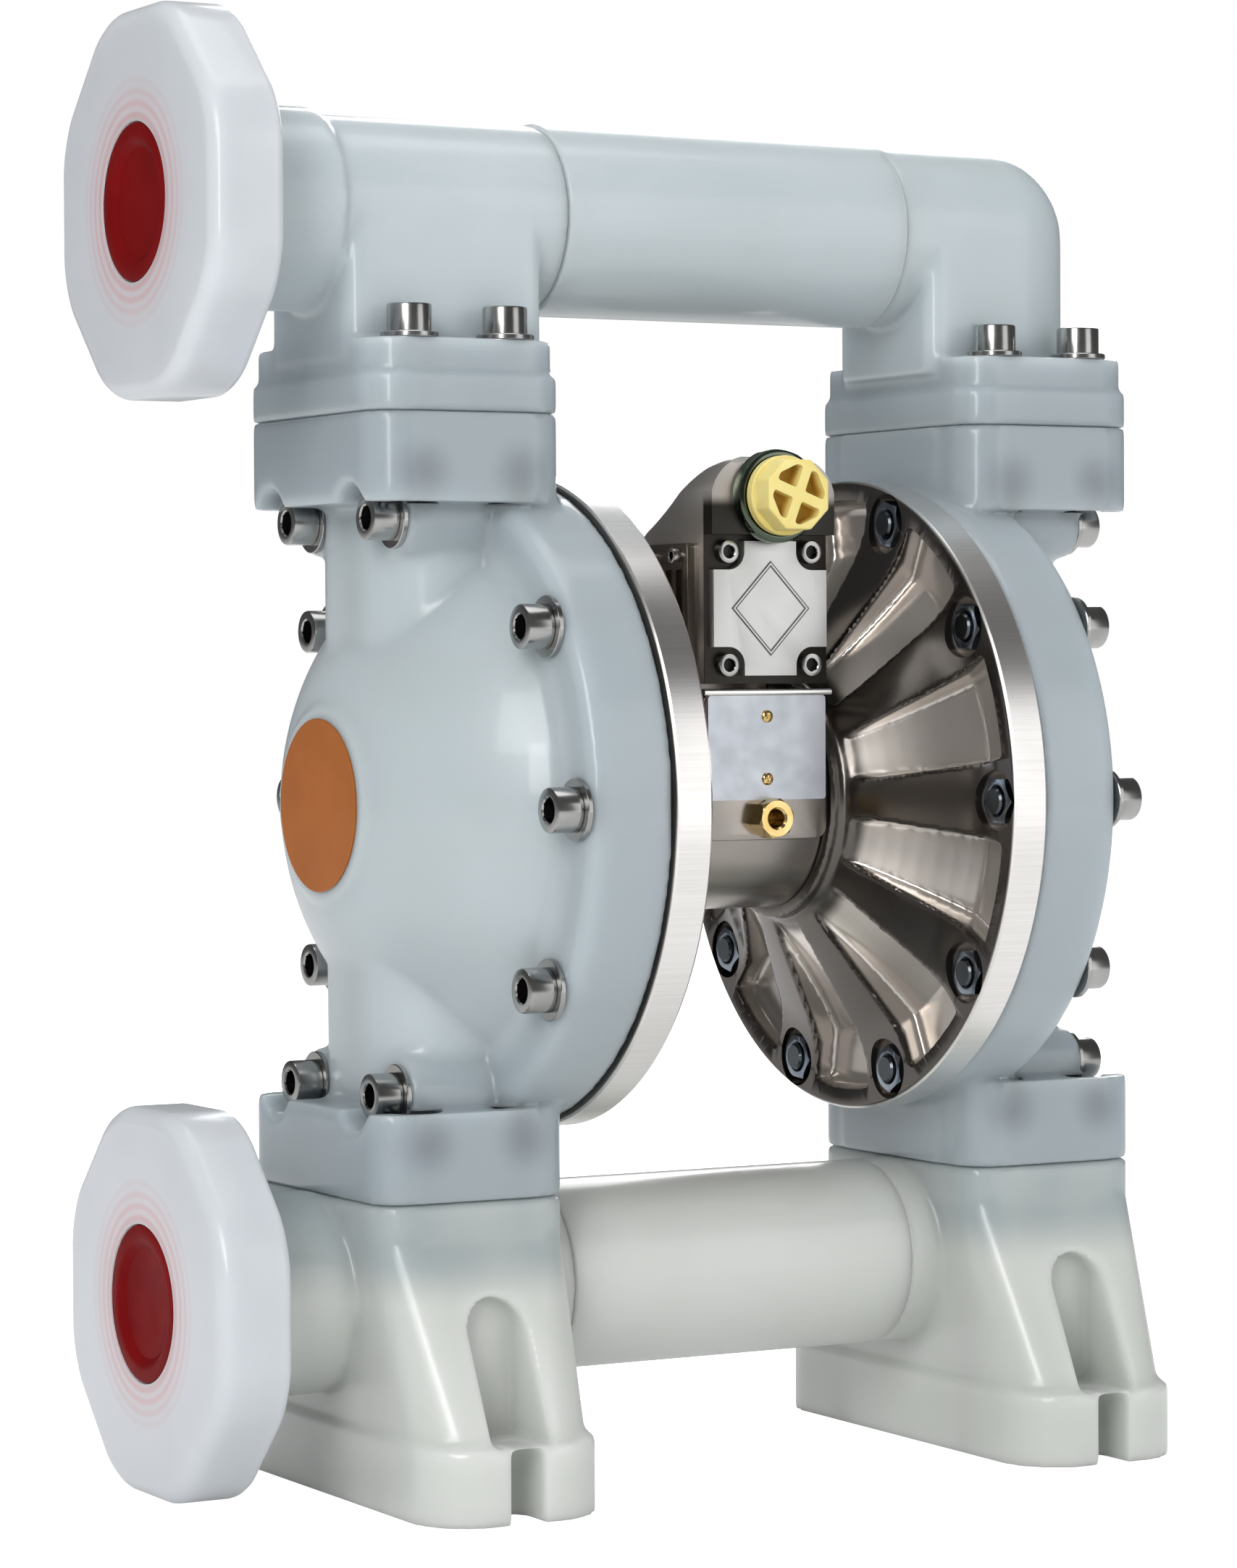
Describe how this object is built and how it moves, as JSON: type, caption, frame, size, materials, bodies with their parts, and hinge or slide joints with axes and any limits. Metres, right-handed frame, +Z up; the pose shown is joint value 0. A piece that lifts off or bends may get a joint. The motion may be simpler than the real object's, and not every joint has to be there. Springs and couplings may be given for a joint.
{
  "type": "air operated diaphragm pump",
  "caption": "Air operated double diaphragm pump with translucent plastic fluid chambers, metal air chambers, flanged manifolds, moulded feet and capped ports.",
  "frame": {"origin": "on the floor, midway between the four anchor slots of the feet", "axes": "+X along the shaft, away from the ports; -Y toward the air valve; +Z up"},
  "size_m": [0.3905, 0.24, 0.5321],
  "materials": {
    "milky_plastic": "translucent moulded polypropylene, pale grey green",
    "warm_plastic": "moulded polypropylene, warm off-white",
    "nickel_casting": "nickel plated casting, semi bright",
    "valve_plate_metal": "nickel plated, satin",
    "steel_fastener": "stainless steel",
    "nut_steel": "dark zinc plated steel",
    "red_plastic": "glossy deep red cap",
    "yellow_plastic": "pale yellow plastic",
    "brass_fitting": "machined brass",
    "label_orange": "bare round label",
    "plate_silver": "bare satin plate",
    "rubber": "black rubber",
    "inner_plate_metal": "machined",
    "outer_plate_plastic": "moulded polypropylene",
    "bush_bronze": "plain bearing bronze",
    "spool_metal": "machined and anodised",
    "silencer_plastic": "porous dark plastic"
  },
  "bodies": {
    "base": {"air_chamber_left": "nickel_casting", "air_chamber_right": "nickel_casting", "air_inlet_ring": "valve_plate_metal", "air_valve_body": "nickel_casting", "centre_body": "nickel_casting", "cover_bolts_long": "steel_fastener", "cover_bolts_short": "steel_fastener", "cover_label_left": "label_orange", "cover_label_right": "label_orange", "cover_nuts": "nut_steel", "cover_washers": "steel_fastener", "data_plate": "plate_silver", "data_plate_screws": "steel_fastener", "diaphragm_left": "rubber", "diaphragm_right": "rubber", "discharge_elbow": "milky_plastic", "discharge_pipe": "milky_plastic", "discharge_port_flange": "warm_plastic", "discharge_seats": "warm_plastic", "discharge_tee": "milky_plastic", "drain_fitting": "brass_fitting", "exhaust_silencer": "silencer_plastic", "face_plate_screws": "steel_fastener", "fluid_cover_left": "milky_plastic", "fluid_cover_right": "milky_plastic", "manifold_bolts": "steel_fastener", "manifold_nuts": "nut_steel", "manifold_washers": "steel_fastener", "shaft_bush_left": "bush_bronze", "shaft_bush_right": "bush_bronze", "side_cap_screws": "steel_fastener", "suction_elbow_foot": "warm_plastic", "suction_pipe": "warm_plastic", "suction_port_flange": "warm_plastic", "suction_seats": "warm_plastic", "suction_tee_foot": "warm_plastic", "valve_face_plate": "valve_plate_metal", "valve_side_cap_left": "valve_plate_metal", "valve_side_cap_right": "valve_plate_metal"},
    "shaft_assembly": {"shaft": "steel_fastener", "inner_plate_left": "inner_plate_metal", "inner_plate_right": "inner_plate_metal", "outer_plate_left": "outer_plate_plastic", "outer_plate_right": "outer_plate_plastic"},
    "suction_ball_left": {"suction_ball_left": "rubber"},
    "suction_ball_right": {"suction_ball_right": "rubber"},
    "discharge_ball_left": {"discharge_ball_left": "rubber"},
    "discharge_ball_right": {"discharge_ball_right": "rubber"},
    "spool": {"valve_spool": "spool_metal"},
    "air_inlet_plug": {"air_inlet_plug": "yellow_plastic"},
    "discharge_port_plug": {"discharge_port_plug": "red_plastic"},
    "suction_port_plug": {"suction_port_plug": "red_plastic"}
  },
  "joints": [
    {"name": "shaft_stroke", "type": "slide", "parent": "base", "child": "shaft_assembly", "axis": [1, 0, 0], "range_m": [-0.012, 0.012], "deforming": ["diaphragm_left", "diaphragm_right"]},
    {"name": "suction_ball_left_lift", "type": "slide", "parent": "base", "child": "suction_ball_left", "axis": [0, 0, 1], "range_m": [0, 0.009]},
    {"name": "suction_ball_right_lift", "type": "slide", "parent": "base", "child": "suction_ball_right", "axis": [0, 0, 1], "range_m": [0, 0.009]},
    {"name": "discharge_ball_left_lift", "type": "slide", "parent": "base", "child": "discharge_ball_left", "axis": [0, 0, 1], "range_m": [0, 0.009]},
    {"name": "discharge_ball_right_lift", "type": "slide", "parent": "base", "child": "discharge_ball_right", "axis": [0, 0, 1], "range_m": [0, 0.009]},
    {"name": "spool_shift", "type": "slide", "parent": "base", "child": "spool", "axis": [1, 0, 0], "range_m": [-0.004, 0.004]},
    {"name": "air_inlet_plug_pull", "type": "slide", "parent": "base", "child": "air_inlet_plug", "axis": [0, -1, 0], "range_m": [0, 0.02]},
    {"name": "discharge_port_plug_pull", "type": "slide", "parent": "base", "child": "discharge_port_plug", "axis": [-1, 0, 0], "range_m": [0, 0.03]},
    {"name": "suction_port_plug_pull", "type": "slide", "parent": "base", "child": "suction_port_plug", "axis": [-1, 0, 0], "range_m": [0, 0.03]}
  ]
}
